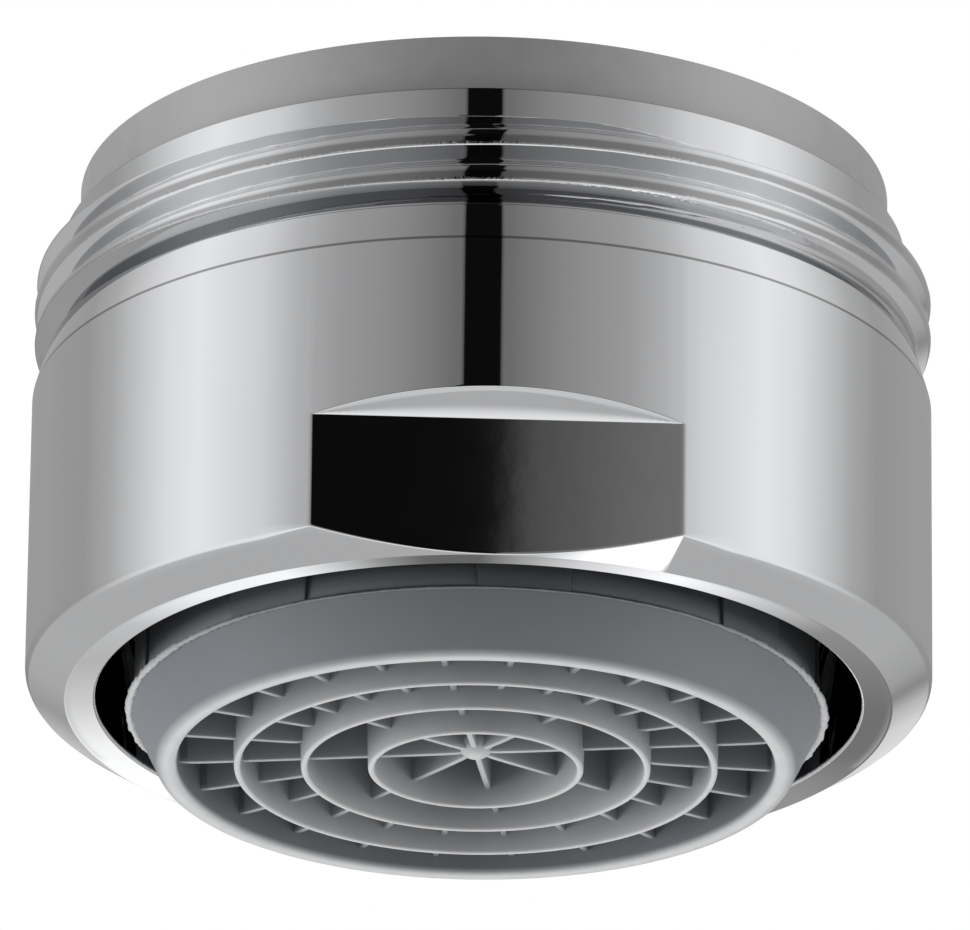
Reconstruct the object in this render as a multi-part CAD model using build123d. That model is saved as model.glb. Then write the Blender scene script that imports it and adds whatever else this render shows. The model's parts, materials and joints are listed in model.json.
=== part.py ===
"""Tap aerator with an M24 x 1 outside thread.

A turned brass housing holds a moulded cartridge that drops in from the threaded end:
its flange rests on a ledge inside the housing, and a flat washer lies on both.
Water enters at the top through the strainer and the jet plate, draws in air through
the windows of the mixing chamber, passes two screens and leaves through the ring and
spoke grille of the outlet insert. Air comes up the gap between insert and housing.
Z = 0 is the plane of the outlet rim, the axis is Z, and the spanner flats face +Y and -Y.
"""
import os
from math import radians, tan

from build123d import *

# Driving dimensions, in millimetres and degrees

# Housing, outside
thread_diameter = 24.0
thread_length = 1.93
lead_in_depth = 0.7
lead_in_height = 0.24
neck_height = 0.83
relief_depth = 0.7
relief_width = 0.45
body_diameter = 24.0
body_height = 8.43
shoulder_cone_depth = 0.3
shoulder_cone_height = 1.07
lip_chamfer_width = 1.065
lip_chamfer_height = 0.69
lip_land_width = 0.825
across_flats = 22.0
flat_wall = 0.89
flat_height = 3.76
flat_shelf_slope = 27.0

# Housing, inside
end_face_width = 1.3
ledge_width = 0.45
ledge_thickness = 1.0
air_gap = 0.76
mouth_land_dish = 0.14

# Sealing washer
washer_thickness = 1.68
washer_inset = 0.46
washer_overlap = 0.4

# Outlet insert: rim, skirt, sleeve and ribs
outlet_drop = 1.8
rib_count = 8
rib_depth = 0.6
rib_angle = 16.0
rib_height = 4.9
sleeve_wall = 0.6
sleeve_top = 6.9
skirt_depth = 0.4
skirt_height = 1.62
rim_inset = 0.31
rim_width = 0.59

# Outlet insert: grille
grille_height = 2.6
ring_count = 3
outer_ring_gap = 1.47
ring_pitch = 1.77
ring_wall = 0.24
spoke_count = 24
long_spoke_count = 8
spoke_recess = 0.5
spoke_wall = 0.2
hub_diameter = 0.9
hub_sides = 8
hub_recess = 0.36
grille_turn = -99.5

# Screens and spacer, between the insert and the mixing chamber
screen_seat_height = 3.2
screen_thickness = 0.3
screen_pitch = 2.7
screen_wire = 0.6
spacer_height = 0.8
spacer_width = 0.55

# Mixing chamber
flange_thickness = 1.7
flange_rim = 1.3
chamber_wall = 0.65
window_count = 8
window_width = 4.2
window_drop = 1.0
window_sill = 1.3

# Jet plate and strainer
plate_thickness = 1.2
jet_width = 0.5
jet_length = 1.3
jet_count = 12
jet_inset = 0.5
strainer_thickness = 0.5
strainer_pitch = 2.7
strainer_bar = 0.6

# Fits
sliding_clearance = 0.1
passing_clearance = 0.2

# Radii of the housing's outside and of the counterbore in its threaded end
body_radius = body_diameter / 2
lip_radius = body_radius - lip_chamfer_width
flat_distance = across_flats / 2
thread_radius = thread_diameter / 2
relief_radius = thread_radius - relief_depth
neck_radius = thread_radius - lead_in_depth
counterbore_radius = neck_radius - end_face_width

# The ribs are the widest part of the insert. They pass the ledge on the way in, and then
# have the air gap and a wall around them, at the flats and at the lip: the least room rules
rib_radius = min(
    counterbore_radius - ledge_width - passing_clearance,
    flat_distance - flat_wall - air_gap,
    lip_radius - lip_land_width - air_gap,
)
ledge_radius = rib_radius + passing_clearance
bore_radius = rib_radius + air_gap

# Radii of the cartridge
sleeve_radius = rib_radius - rib_depth
socket_radius = sleeve_radius - sleeve_wall
fitted_radius = socket_radius - sliding_clearance
chamber_radius = fitted_radius - chamber_wall
rim_radius = sleeve_radius - rim_inset
rim_hole_radius = rim_radius - rim_width
flange_radius = counterbore_radius - sliding_clearance
recess_radius = flange_radius - flange_rim
plate_radius = recess_radius - sliding_clearance
washer_radius = neck_radius - washer_inset
washer_hole_radius = recess_radius - washer_overlap

# Heights, from the outlet upwards
lip_z = outlet_drop
shoulder_z = lip_z + body_height
relief_z = shoulder_z + shoulder_cone_height
thread_z = relief_z + relief_width
lead_in_z = thread_z + thread_length
neck_z = lead_in_z + lead_in_height
end_z = neck_z + neck_height
ledge_top_z = end_z - flange_thickness
ledge_z = ledge_top_z - ledge_thickness
lower_screen_z = screen_seat_height
spacer_z = lower_screen_z + screen_thickness
upper_screen_z = spacer_z + spacer_height
chamber_z = upper_screen_z + screen_thickness
strainer_z = end_z - strainer_thickness
plate_z = strainer_z - plate_thickness

# Overrun of the cutting shapes past the faces that they cut
cut_margin = 1.0


def turned(points):
    """Solid of revolution about Z from a closed outline of (radius, height) points."""
    outline = Polyline(*[(radius, 0, height) for radius, height in points], close=True)
    return revolve(make_face(outline), Axis.Z)


def ring(outer_radius, inner_radius, low, high):
    """Plain ring between two radii and two heights, a disc where the inner radius is zero."""
    return turned([(inner_radius, low), (outer_radius, low), (outer_radius, high), (inner_radius, high)])


def around(shape, count, turn=0.0):
    """Copies of a shape spread evenly about Z, the first one turned by the given angle."""
    return [Rot(0, 0, turn + 360.0 * index / count) * shape for index in range(count)]


def radial_block(inner_radius, outer_radius, width, low, high):
    """Block along +X from one radius to another, centred on the X axis."""
    place = Pos((inner_radius + outer_radius) / 2, 0, (low + high) / 2)
    return place * Box(outer_radius - inner_radius, width, high - low)


def square_gaps(pitch, bar, reach, low, high):
    """Square cutters on a grid, those whose far corner lies inside the given radius."""
    gap = pitch - bar
    steps = int(reach / pitch) + 1
    gaps = []
    for column in range(-steps, steps + 1):
        for row in range(-steps, steps + 1):
            far_x = abs(column) * pitch + gap / 2
            far_y = abs(row) * pitch + gap / 2
            if far_x**2 + far_y**2 <= reach**2:
                place = Pos(column * pitch, row * pitch, (low + high) / 2)
                gaps.append(place * Box(gap, gap, high - low))
    return gaps


def housing():
    """Turned shell: body, spanner flats, shoulder, relief, thread band, neck and inner ledge."""
    shell = turned([
        (lip_radius, lip_z),
        (body_radius, lip_z + lip_chamfer_height),
        (body_radius, shoulder_z),
        (body_radius - shoulder_cone_depth, relief_z),
        (relief_radius, relief_z),
        (relief_radius, thread_z),
        (thread_radius, thread_z),
        (thread_radius, lead_in_z),
        (neck_radius, neck_z),
        (neck_radius, end_z),
        (counterbore_radius, end_z),
        (counterbore_radius, ledge_top_z),
        (ledge_radius, ledge_top_z),
        (ledge_radius, ledge_z),
        (bore_radius, ledge_z),
        (bore_radius, lip_z + mouth_land_dish),
    ])
    outside = body_radius + cut_margin
    below = lip_z - cut_margin
    shelf_z = lip_z + flat_height
    shelf_outer_z = shelf_z + (outside - flat_distance) * tan(radians(flat_shelf_slope))
    side = Polyline(
        (0, flat_distance, below),
        (0, flat_distance, shelf_z),
        (0, outside, shelf_outer_z),
        (0, outside, below),
        close=True,
    )
    flat_cut = extrude(make_face(side), amount=body_radius, both=True)
    return shell - around(flat_cut, 2)


def sealing_washer():
    """Flat washer on the thread end of the housing and the flange of the chamber."""
    return ring(washer_radius, washer_hole_radius, end_z, end_z + washer_thickness)


def insert_sleeve():
    """Sleeve of the outlet insert: rim, flared skirt, wall and the seat of the screens."""
    return turned([
        (rim_hole_radius, 0),
        (rim_radius, 0),
        (sleeve_radius + skirt_depth, skirt_height),
        (sleeve_radius, skirt_height),
        (sleeve_radius, sleeve_top),
        (socket_radius, sleeve_top),
        (socket_radius, screen_seat_height),
        (rim_hole_radius, screen_seat_height),
    ])


def insert_ribs():
    """Centring ribs of the insert: sectors of a band that starts at the skirt's upper edge."""
    wall_middle = sleeve_radius - sleeve_wall / 2
    band = ring(rib_radius, wall_middle, skirt_height, skirt_height + rib_height)
    reach = 2 * rib_radius
    half_width = reach * tan(radians(rib_angle / 2))
    sector = make_face(Polyline((0, 0), (reach, -half_width), (reach, half_width), close=True))
    wedge = Pos(0, 0, skirt_height) * extrude(sector, amount=rib_height)
    between_spokes = 360.0 / spoke_count
    return [band & place for place in around(wedge, rib_count, grille_turn + between_spokes)]


def grille_rings():
    """Rings of the grille, flush with the rim."""
    rings = []
    for index in range(ring_count):
        outer_radius = rim_hole_radius - outer_ring_gap - index * ring_pitch
        rings.append(ring(outer_radius, outer_radius - ring_wall, 0, grille_height))
    return rings


def grille_spoke(inner_radius):
    """Spoke along +X into the rim: a thin web whose lower edge is set back from the rings."""
    rim_middle = rim_hole_radius + rim_width / 2
    return radial_block(inner_radius, rim_middle, spoke_wall, spoke_recess, grille_height)


def outlet_insert():
    """Outlet moulding: sleeve, ribs, rings, hub, long spokes and the short ones between them."""
    second_ring_middle = rim_hole_radius - outer_ring_gap - ring_pitch - ring_wall / 2
    long_spokes = around(grille_spoke(0.0), long_spoke_count, grille_turn)
    short_spoke = grille_spoke(second_ring_middle)
    step = 360.0 / spoke_count
    short_spokes = []
    for place in range(1, spoke_count // long_spoke_count):
        short_spokes += around(short_spoke, long_spoke_count, grille_turn + place * step)
    hub_section = RegularPolygon(hub_diameter / 2, hub_sides)
    hub = Pos(0, 0, hub_recess) * extrude(hub_section, amount=grille_height - hub_recess)
    return insert_sleeve() + (insert_ribs() + grille_rings() + [hub] + long_spokes + short_spokes)


def screen(low):
    """Wire screen as a disc with square gaps inside a plain rim."""
    disc = ring(fitted_radius, 0, low, low + screen_thickness)
    return disc - square_gaps(screen_pitch, screen_wire, chamber_radius,
                              low - cut_margin, low + screen_thickness + cut_margin)


def screen_spacer():
    """Spacer ring between the two screens."""
    return ring(fitted_radius, fitted_radius - spacer_width, spacer_z, upper_screen_z)


def mixing_chamber():
    """Cartridge body: flange on the ledge, tube with air windows that plugs into the insert."""
    tube = turned([
        (chamber_radius, chamber_z),
        (fitted_radius, chamber_z),
        (fitted_radius, ledge_top_z),
        (flange_radius, ledge_top_z),
        (flange_radius, end_z),
        (recess_radius, end_z),
        (recess_radius, plate_z),
        (chamber_radius, plate_z),
    ])
    window = radial_block(chamber_radius / 2, fitted_radius + cut_margin, window_width,
                          sleeve_top + window_sill, ledge_z - window_drop)
    return tube - around(window, window_count, grille_turn)


def jet_plate():
    """Jet plate: a disc with a circle of narrow jets."""
    plate = ring(plate_radius, 0, plate_z, strainer_z)
    jet_end = chamber_radius - jet_inset
    jet = radial_block(jet_end - jet_length, jet_end, jet_width,
                       plate_z - cut_margin, strainer_z + cut_margin)
    return plate - around(jet, jet_count)


def strainer():
    """Strainer: a disc with square gaps that lies on the jet plate under the washer."""
    disc = ring(plate_radius, 0, strainer_z, end_z)
    return disc - square_gaps(strainer_pitch, strainer_bar, chamber_radius,
                              strainer_z - cut_margin, end_z + cut_margin)


def main():
    """Build every piece and write one STEP file for each."""
    os.makedirs("parts", exist_ok=True)
    pieces = {
        "housing": housing(),
        "sealing_washer": sealing_washer(),
        "strainer": strainer(),
        "jet_plate": jet_plate(),
        "mixing_chamber": mixing_chamber(),
        "screen_upper": screen(upper_screen_z),
        "screen_spacer": screen_spacer(),
        "screen_lower": screen(lower_screen_z),
        "outlet_insert": outlet_insert(),
    }
    for name, piece in pieces.items():
        export_step(piece, os.path.join("parts", name + ".step"))


main()
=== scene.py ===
"""Looks of a tap aerator, laid over its packed solids.

Every new surface is a grid of points worked out with numpy, in metres, in the frame of the
solids: Z is the axis, Z = 0 is the plane of the outlet rim, and the spanner flats face +Y and -Y.
"""
import json
import math
from typing import NamedTuple

import bmesh
import bpy
import numpy as np
from bpy.props import FloatProperty, FloatVectorProperty, IntProperty, PointerProperty
from mathutils import Matrix, Vector


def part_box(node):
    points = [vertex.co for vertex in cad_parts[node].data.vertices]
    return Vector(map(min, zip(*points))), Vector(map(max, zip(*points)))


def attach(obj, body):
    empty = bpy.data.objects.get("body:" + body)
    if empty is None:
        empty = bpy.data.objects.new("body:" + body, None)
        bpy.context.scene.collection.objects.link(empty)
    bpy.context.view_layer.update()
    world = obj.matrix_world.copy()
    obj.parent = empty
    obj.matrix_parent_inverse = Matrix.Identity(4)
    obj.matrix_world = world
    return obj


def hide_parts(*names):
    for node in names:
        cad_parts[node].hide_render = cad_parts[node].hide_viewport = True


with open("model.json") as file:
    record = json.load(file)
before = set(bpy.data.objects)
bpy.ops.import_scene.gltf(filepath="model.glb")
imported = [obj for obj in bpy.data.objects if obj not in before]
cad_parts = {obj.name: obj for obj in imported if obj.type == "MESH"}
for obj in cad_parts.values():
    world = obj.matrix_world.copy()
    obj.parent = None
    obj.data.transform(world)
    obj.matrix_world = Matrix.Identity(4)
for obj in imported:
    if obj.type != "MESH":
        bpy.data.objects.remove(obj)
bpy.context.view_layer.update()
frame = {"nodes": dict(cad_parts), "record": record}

bl_info = {
    "name": "Tap aerator",
    "version": (1, 0, 0),
    "blender": (4, 5, 0),
    "location": "View3D > Sidebar > Aerator",
    "description": "Builds the surfaces, finishes and stage of a tap aerator over its packed solids",
    "category": "Object",
}

MM = 0.001

# Sizes that come from the packed solids
HOUSING_LOW, HOUSING_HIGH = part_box("housing")
WASHER_LOW, WASHER_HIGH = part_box("sealing_washer")
INSERT_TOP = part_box("outlet_insert")[1].z
MOUNTS = {mount["name"]: mount for mount in frame["record"]["mounts"]}
THREAD_RADIUS = MOUNTS["thread"]["dims"]["r_mm"] * MM
FLAT_DISTANCE = abs(MOUNTS["spanner_flat_front"]["pos_m"][1])


# Properties

def length(name, description, metres):
    """Length property with its default in metres."""
    return FloatProperty(name=name, description=description, default=metres, unit="LENGTH", precision=5)


def angle(name, description, degrees):
    """Angle property with its default in degrees."""
    return FloatProperty(name=name, description=description, default=math.radians(degrees), subtype="ANGLE")


def colour(name, description, value):
    """Linear colour property."""
    return FloatVectorProperty(name=name, description=description, default=value, subtype="COLOR",
                               min=0.0, max=1.0)


def number(name, description, value, subtype="NONE"):
    """Plain number property."""
    return FloatProperty(name=name, description=description, default=value, subtype=subtype)


def whole(name, description, value):
    """Whole number property."""
    return IntProperty(name=name, description=description, default=value)


class HousingSizes(bpy.types.PropertyGroup):
    """Sizes of the chromed housing."""
    columns: whole("Columns", "Points round the housing", 360)
    thread_rows: whole("Thread rows", "Points up the threaded end", 164)
    body_radius: length("Body radius", "Outside of the body", 12.0 * MM)
    lip_radius: length("Lip radius", "Inner edge of the lip's chamfer", 10.935 * MM)
    chamfer_height: length("Chamfer height", "Height of the lip's chamfer", 0.69 * MM)
    bore_radius: length("Bore radius", "Inside of the body", 10.11 * MM)
    land_dish: length("Land dish", "Rise of the mouth's land towards the bore", 0.09 * MM)
    flat_height: length("Flat height", "Height of the spanner flats above the lip", 3.76 * MM)
    shelf_slope: angle("Shelf slope", "Slope of the shelf above a spanner flat", 27.0)
    body_height: length("Body height", "From the lip to the shoulder", 8.43 * MM)
    cone_depth: length("Cone depth", "How far the shoulder cone goes in", 0.3 * MM)
    cone_height: length("Cone height", "Height of the shoulder cone", 1.07 * MM)
    relief_radius: length("Relief radius", "Bottom of the relief groove", 11.3 * MM)
    relief_width: length("Relief width", "Height of the relief groove", 0.19 * MM)
    relief_wall: length("Relief wall", "Height of the flank from the groove to the first crest", 0.40 * MM)
    lead_in_height: length("Lead-in height", "Height of the chamfer at the thread's end", 0.24 * MM)
    neck_radius: length("Neck radius", "Plain neck above the thread", 11.3 * MM)
    neck_height: length("Neck height", "Height of the neck", 0.83 * MM)
    counterbore_radius: length("Counterbore radius", "Room of the cartridge's flange", 10.0 * MM)
    flange_depth: length("Flange depth", "Depth of the counterbore", 1.7 * MM)
    ledge_radius: length("Ledge radius", "Hole in the ledge", 9.55 * MM)
    ledge_thickness: length("Ledge thickness", "Thickness of the ledge", 1.0 * MM)
    pitch: length("Pitch", "Rise of the thread in one turn", 1.0 * MM)
    groove_width: length("Groove width", "Width of the thread groove at the crests", 0.63 * MM)
    groove_height: length("Groove height", "Middle of the lower groove at the front", 12.605 * MM)
    crest_bulge: length("Crest bulge", "Radius of the crest's arc across the thread", 0.6 * MM)
    crest_lift: length("Crest lift", "Highest line of the crest above its middle", 0.06 * MM)
    start_cut: length("Start cut", "How much lower the chamfer is where the thread starts", 0.16 * MM)
    crest_round: length("Crest round", "Rounding of a crest's upper edge", 0.16 * MM)
    crest_edge: length("Crest edge", "Rounding of a crest's lower edge", 0.018 * MM)
    burr: length("Burr", "Half width of the rough lower edge of a crest", 0.03 * MM)
    edge_round: length("Edge round", "Rounding of the turned edges", 0.05 * MM)
    foot_round: length("Foot round", "Rounding of the body's lower edge", 0.22 * MM)


class WasherSizes(bpy.types.PropertyGroup):
    """Sizes of the sealing washer."""
    columns: whole("Columns", "Points round the washer", 288)
    radius: length("Radius", "Outside of the washer", 10.84 * MM)
    hole_radius: length("Hole radius", "Hole in the washer", 8.2 * MM)
    edge_round: length("Edge round", "Rounding of the edges", 0.08 * MM)


class InsertSizes(bpy.types.PropertyGroup):
    """Sizes of the outlet insert."""
    columns: whole("Columns", "Points round the insert", 360)
    rim_hole_radius: length("Rim hole radius", "Inside of the rim", 7.88 * MM)
    rim_radius: length("Rim radius", "Outside of the rim's lower face", 8.38 * MM)
    rim_round: length("Rim round", "Rounding of the rim's edges", 0.2 * MM)
    skirt_radius: length("Skirt radius", "Upper edge of the skirt", 9.15 * MM)
    skirt_height: length("Skirt height", "Height of the skirt's upper edge", 1.62 * MM)
    sleeve_radius: length("Sleeve radius", "Outside of the sleeve", 8.95 * MM)
    sleeve_shade: length("Sleeve shade", "Height over which the sleeve turns dark", 0.75 * MM)
    socket_radius: length("Socket radius", "Inside of the sleeve", 8.15 * MM)
    seat_height: length("Seat height", "Height of the screens' seat", 3.2 * MM)
    bead_radius: length("Bead radius", "Thickness of the moulding flash round the skirt", 0.06 * MM)
    rib_radius: length("Rib radius", "Outside of the centring ribs", 9.06 * MM)
    rib_height: length("Rib height", "Height of the ribs", 4.9 * MM)
    rib_angle: angle("Rib angle", "Width of a rib", 16.0)
    rib_count: whole("Rib count", "Number of centring ribs", 8)
    grille_height: length("Grille height", "Height of rings and spokes", 2.6 * MM)
    ring_count: whole("Ring count", "Number of grille rings", 3)
    ring_gap: length("Ring gap", "From the rim to the outer ring", 1.5 * MM)
    ring_pitch: length("Ring pitch", "From ring to ring", 1.77 * MM)
    ring_wall: length("Ring wall", "Thickness of a ring at its lower edge", 0.17 * MM)
    ring_draft: length("Ring draft", "Added thickness of a ring at its top", 0.17 * MM)
    spoke_wall: length("Spoke wall", "Thickness of a spoke at its lower edge", 0.17 * MM)
    spoke_recess: length("Spoke recess", "Lower edge of the spokes above the rim", 0.5 * MM)
    spoke_count: whole("Spoke count", "Spokes in the outer zones", 24)
    long_spoke_count: whole("Long spokes", "Spokes that reach the hub", 8)
    hub_radius: length("Hub radius", "Radius of the hub", 0.52 * MM)
    hub_recess: length("Hub recess", "Lower face of the hub above the rim", 0.36 * MM)
    turn: angle("Turn", "Direction of the first long spoke", -99.5)
    seat_shift: FloatVectorProperty(name="Seat shift", description="Play of the insert in the housing",
                                    default=(-0.05 * MM, 0.0, 0.05 * MM), subtype="TRANSLATION",
                                    precision=5)


class ScreenSizes(bpy.types.PropertyGroup):
    """Sizes of the woven screens and the strainer."""
    pitch: length("Pitch", "From wire to wire", 0.8 * MM)
    wire_radius: length("Wire radius", "Half the thickness of a wire", 0.1 * MM)
    rim_width: length("Rim width", "Width of the pressed rim", 0.65 * MM)
    strainer_pitch: length("Strainer pitch", "From bar to bar of the strainer", 1.1 * MM)
    strainer_bar: length("Strainer bar", "Width of the strainer's bars", 0.36 * MM)


class FinishColours(bpy.types.PropertyGroup):
    """Colours of the finishes."""
    chrome: colour("Chrome", "Polished chrome plate", (0.645, 0.65, 0.66))
    rubber: colour("Rubber", "Grey rubber of the washer", (0.47, 0.47, 0.47))
    insert: colour("Insert", "Blue-grey moulding of the outlet", (0.165, 0.175, 0.19))
    # Painted highlight: the paler colour mixed in on the insert's edges and in its hollow
    insert_highlight: colour("Insert edge", "Paler edges of the outlet moulding", (0.415, 0.42, 0.425))
    cartridge: colour("Cartridge", "Pale moulding of the cartridge", (0.62, 0.63, 0.64))
    steel: colour("Steel", "Stainless wire of the screens", (0.6, 0.6, 0.58))
    floor: colour("Floor", "Pale floor", (0.82, 0.82, 0.82))


class StageSizes(bpy.types.PropertyGroup):
    """Camera and light."""
    camera_distance: length("Camera distance", "From the middle of the lip", 311.13 * MM)
    camera_elevation: angle("Camera elevation", "Below the horizon where negative", -21.087)
    camera_azimuth: angle("Camera azimuth", "Towards +X where positive", -2.2)
    camera_roll: angle("Camera roll", "Turn about the line of sight", 0.6585)
    focal_pixels: number("Focal length", "In pixels of the picture", 11768.0)
    lip_pixel_x: number("Lip column", "Picture column of the lip's middle", 478.28)
    lip_pixel_y: number("Lip row", "Picture row of the lip's middle", 709.39)
    fill_power: number("Fill power", "Lamp under the outlet", 0.58, "POWER")
    left_power: number("Left power", "Lamp at the left", 0.5, "POWER")
    right_power: number("Right power", "Lamp at the right", 0.24, "POWER")
    floor_radius: length("Floor radius", "Radius of the floor", 0.6)


SETTINGS = {
    "aerator_housing": HousingSizes,
    "aerator_washer": WasherSizes,
    "aerator_insert": InsertSizes,
    "aerator_screens": ScreenSizes,
    "aerator_finish": FinishColours,
    "aerator_stage": StageSizes,
}


# Grids of points

class Surface(NamedTuple):
    """Grid of points (rows, columns, 3) that may close either way, with its masks.

    The edge mask, which carries painted light and shade, is always there.
    """
    points: np.ndarray
    edge: np.ndarray
    wrap_rows: bool = True
    wrap_columns: bool = True
    masks: tuple = ()


def plain(points, wrap_rows=True, wrap_columns=True):
    """Surface with no marked edges."""
    return Surface(points, np.zeros(points.shape[:2]), wrap_rows, wrap_columns)


def quads(rows, columns, wrap_rows, wrap_columns):
    """Four corners of every cell: a point, the next in its row, and the two in the next row."""
    row = np.arange(rows if wrap_rows else rows - 1)[:, None]
    column = np.arange(columns if wrap_columns else columns - 1)[None, :]
    next_row = (row + 1) % rows
    next_column = (column + 1) % columns
    corners = (row * columns + column, row * columns + next_column,
               next_row * columns + next_column, next_row * columns + column)
    return np.stack(corners, axis=-1).reshape(-1, 4)


ROUND_LIMIT = 0.48
SHORTEST_SIDE = 1e-12


def rounded(corners, radii, steps=5):
    """Closed outline in which a parabola takes the place of each corner.

    It runs from one radius before the corner to one radius past it, with the corner as its
    control point, and the radius is held under half of the shorter side.
    """
    corners = np.asarray(corners, float)
    before = np.roll(corners, 1, axis=-2) - corners
    after = np.roll(corners, -1, axis=-2) - corners
    length_before = np.maximum(np.linalg.norm(before, axis=-1), SHORTEST_SIDE)
    length_after = np.maximum(np.linalg.norm(after, axis=-1), SHORTEST_SIDE)
    reach = np.minimum(np.minimum(length_before, length_after) * ROUND_LIMIT, radii)
    start = corners + before * (reach / length_before)[..., None]
    end = corners + after * (reach / length_after)[..., None]
    step = np.linspace(0.0, 1.0, steps)[:, None]
    curve = ((1 - step) ** 2 * start[..., None, :] + 2 * step * (1 - step) * corners[..., None, :]
             + step**2 * end[..., None, :])
    return curve.reshape(corners.shape[:-2] + (-1, 2))


def turned(outline, angles):
    """Surface of revolution: the point (radius, height) goes to (r cos a, r sin a, height).

    The outline is one for all angles or has one row for each.
    """
    outline = np.broadcast_to(outline, (len(angles),) + outline.shape[-2:])
    radius, height = outline[..., 0], outline[..., 1]
    points = np.stack((radius * np.cos(angles)[:, None], radius * np.sin(angles)[:, None], height), -1)
    return points.transpose(1, 0, 2)


def ring_corners(inner, outer, low, high):
    """Corners of a plain ring's section."""
    return [(inner, low), (outer, low), (outer, high), (inner, high)]


def full_turn(columns):
    """Evenly spread angles of one turn."""
    return np.linspace(0.0, 2 * np.pi, columns, endpoint=False)


def smooth_min(first, second, blend):
    """Lesser of two values, rounded where they cross.

    It is half of what is left when the root of the squares of difference and blend goes off the sum.
    """
    return 0.5 * (first + second - np.sqrt((first - second) ** 2 + blend**2))


WOBBLE_GAIN = 1.6


def wobble(angles, waves, seed):
    """Uneven line of one turn: sines of the given whole waves with chosen phases, within about one."""
    phases = np.random.default_rng(seed).uniform(0, 2 * np.pi, len(waves))
    return np.sin(np.multiply.outer(angles, waves) + phases).mean(axis=-1) * WOBBLE_GAIN


def block(rows, columns, corner):
    """Box from -1 to 1 with rounded edges.

    It is a superquadric: signed powers of the sphere's sines and cosines.
    """
    across = np.linspace(-np.pi / 2, np.pi / 2, rows)[:, None]
    around = full_turn(columns)[None, :]

    def power(value):
        return np.sign(value) * np.abs(value) ** corner

    ones = np.ones_like(around)
    return np.stack((power(np.cos(across)) * power(np.cos(around)),
                     power(np.cos(across)) * power(np.sin(around)),
                     power(np.sin(across)) * ones), -1)


# Meshes and pieces

WELD_DISTANCE = 2e-8


def mesh_from(name, surfaces):
    """Mesh of several grids, with the masks as point attributes and the poles welded.

    Masks other than the edge belong to a mesh of one grid.
    """
    starts = np.cumsum([0] + [surface.edge.size for surface in surfaces[:-1]])
    points = np.concatenate([surface.points.reshape(-1, 3) for surface in surfaces])
    faces = np.concatenate([quads(*surface.edge.shape, surface.wrap_rows, surface.wrap_columns) + start
                            for surface, start in zip(surfaces, starts)])
    mesh = bpy.data.meshes.new(name)
    mesh.vertices.add(len(points))
    mesh.vertices.foreach_set("co", points.astype(np.float32).ravel())
    mesh.loops.add(faces.size)
    mesh.loops.foreach_set("vertex_index", faces.astype(np.int32).ravel())
    mesh.polygons.add(len(faces))
    mesh.polygons.foreach_set("loop_start", np.arange(0, faces.size, 4, dtype=np.int32))
    masks = [("edge", np.concatenate([surface.edge.ravel() for surface in surfaces])), *surfaces[0].masks]
    for mask, values in masks:
        attribute = mesh.attributes.new(mask, "FLOAT", "POINT")
        attribute.data.foreach_set("value", values.astype(np.float32).ravel())
    mesh.update(calc_edges=True)
    welded = bmesh.new()
    welded.from_mesh(mesh)
    bmesh.ops.remove_doubles(welded, verts=welded.verts, dist=WELD_DISTANCE)
    welded.to_mesh(mesh)
    welded.free()
    mesh.shade_smooth()
    return mesh


def piece(name, surfaces, material, slot, *nodes):
    """Finished piece on the root body that stands for the given nodes."""
    made = bpy.data.objects.new(name, mesh_from(name, surfaces))
    bpy.context.scene.collection.objects.link(made)
    made.data.materials.append(material)
    normals = made.modifiers.new("Even shading", "WEIGHTED_NORMAL")
    normals.mode = "FACE_AREA"
    normals.weight = 50
    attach(made, "root")
    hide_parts(*nodes)
    return made


# Shader nodes

class Wiring:
    """Short way to add nodes to a tree: values or sockets go in, one output comes out."""

    def __init__(self, tree):
        self.tree = tree

    def add(self, kind, **settings):
        """New node with its settings."""
        node = self.tree.nodes.new(kind)
        for name, value in settings.items():
            setattr(node, name, value)
        return node

    def join(self, value, socket):
        """Link a socket to the socket, or set a plain value on it."""
        if isinstance(value, bpy.types.NodeSocket):
            self.tree.links.new(value, socket)
        else:
            socket.default_value = value

    def output(self, node, values, inputs=(0, 1, 2), output=0):
        """One output of a node whose inputs take the values."""
        for value, index in zip(values, inputs):
            self.join(value, node.inputs[index])
        return node.outputs[output]

    def math(self, operation, *values):
        """Function of numbers."""
        return self.output(self.add("ShaderNodeMath", operation=operation), values)

    def vector(self, operation, *values):
        """Function of vectors."""
        return self.output(self.add("ShaderNodeVectorMath", operation=operation), values)

    def step(self, value, low, high):
        """Smooth step from 0 at low to 1 at high."""
        node = self.add("ShaderNodeMapRange", interpolation_type="SMOOTHSTEP")
        return self.output(node, (value, low, high))

    def mix(self, factor, first, second):
        """Value between two values."""
        return self.output(self.add("ShaderNodeMix", data_type="FLOAT"), (factor, first, second), (0, 2, 3))

    def mix_colour(self, factor, first, second):
        """Colour between two colours."""
        node = self.add("ShaderNodeMix", data_type="RGBA")
        return self.output(node, (factor, first, second), (0, 6, 7), 2)

    def place(self):
        """Object coordinates."""
        return self.add("ShaderNodeTexCoord").outputs["Object"]

    def mask(self, name):
        """Mask on the points of the mesh."""
        return self.add("ShaderNodeAttribute", attribute_name=name).outputs["Fac"]

    def parts(self, vector):
        """Three parts of a vector."""
        node = self.add("ShaderNodeSeparateXYZ")
        self.join(vector, node.inputs[0])
        return node.outputs

    def reach(self, x, y):
        """Root of the sum of two squares."""
        return self.math("SQRT", self.math("ADD", self.math("MULTIPLY", x, x), self.math("MULTIPLY", y, y)))

    def ramp(self, value, stops):
        """Grey level by straight runs between (place, level) stops."""
        node = self.add("ShaderNodeValToRGB")
        ramp = node.color_ramp
        while len(ramp.elements) < len(stops):
            ramp.elements.new(1.0)
        for element, (place, level) in zip(ramp.elements, stops):
            element.position = place
            element.color = (level, level, level, 1.0)
        self.join(value, node.inputs[0])
        return node.outputs[0]


BROAD_SHARE = 0.12


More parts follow.
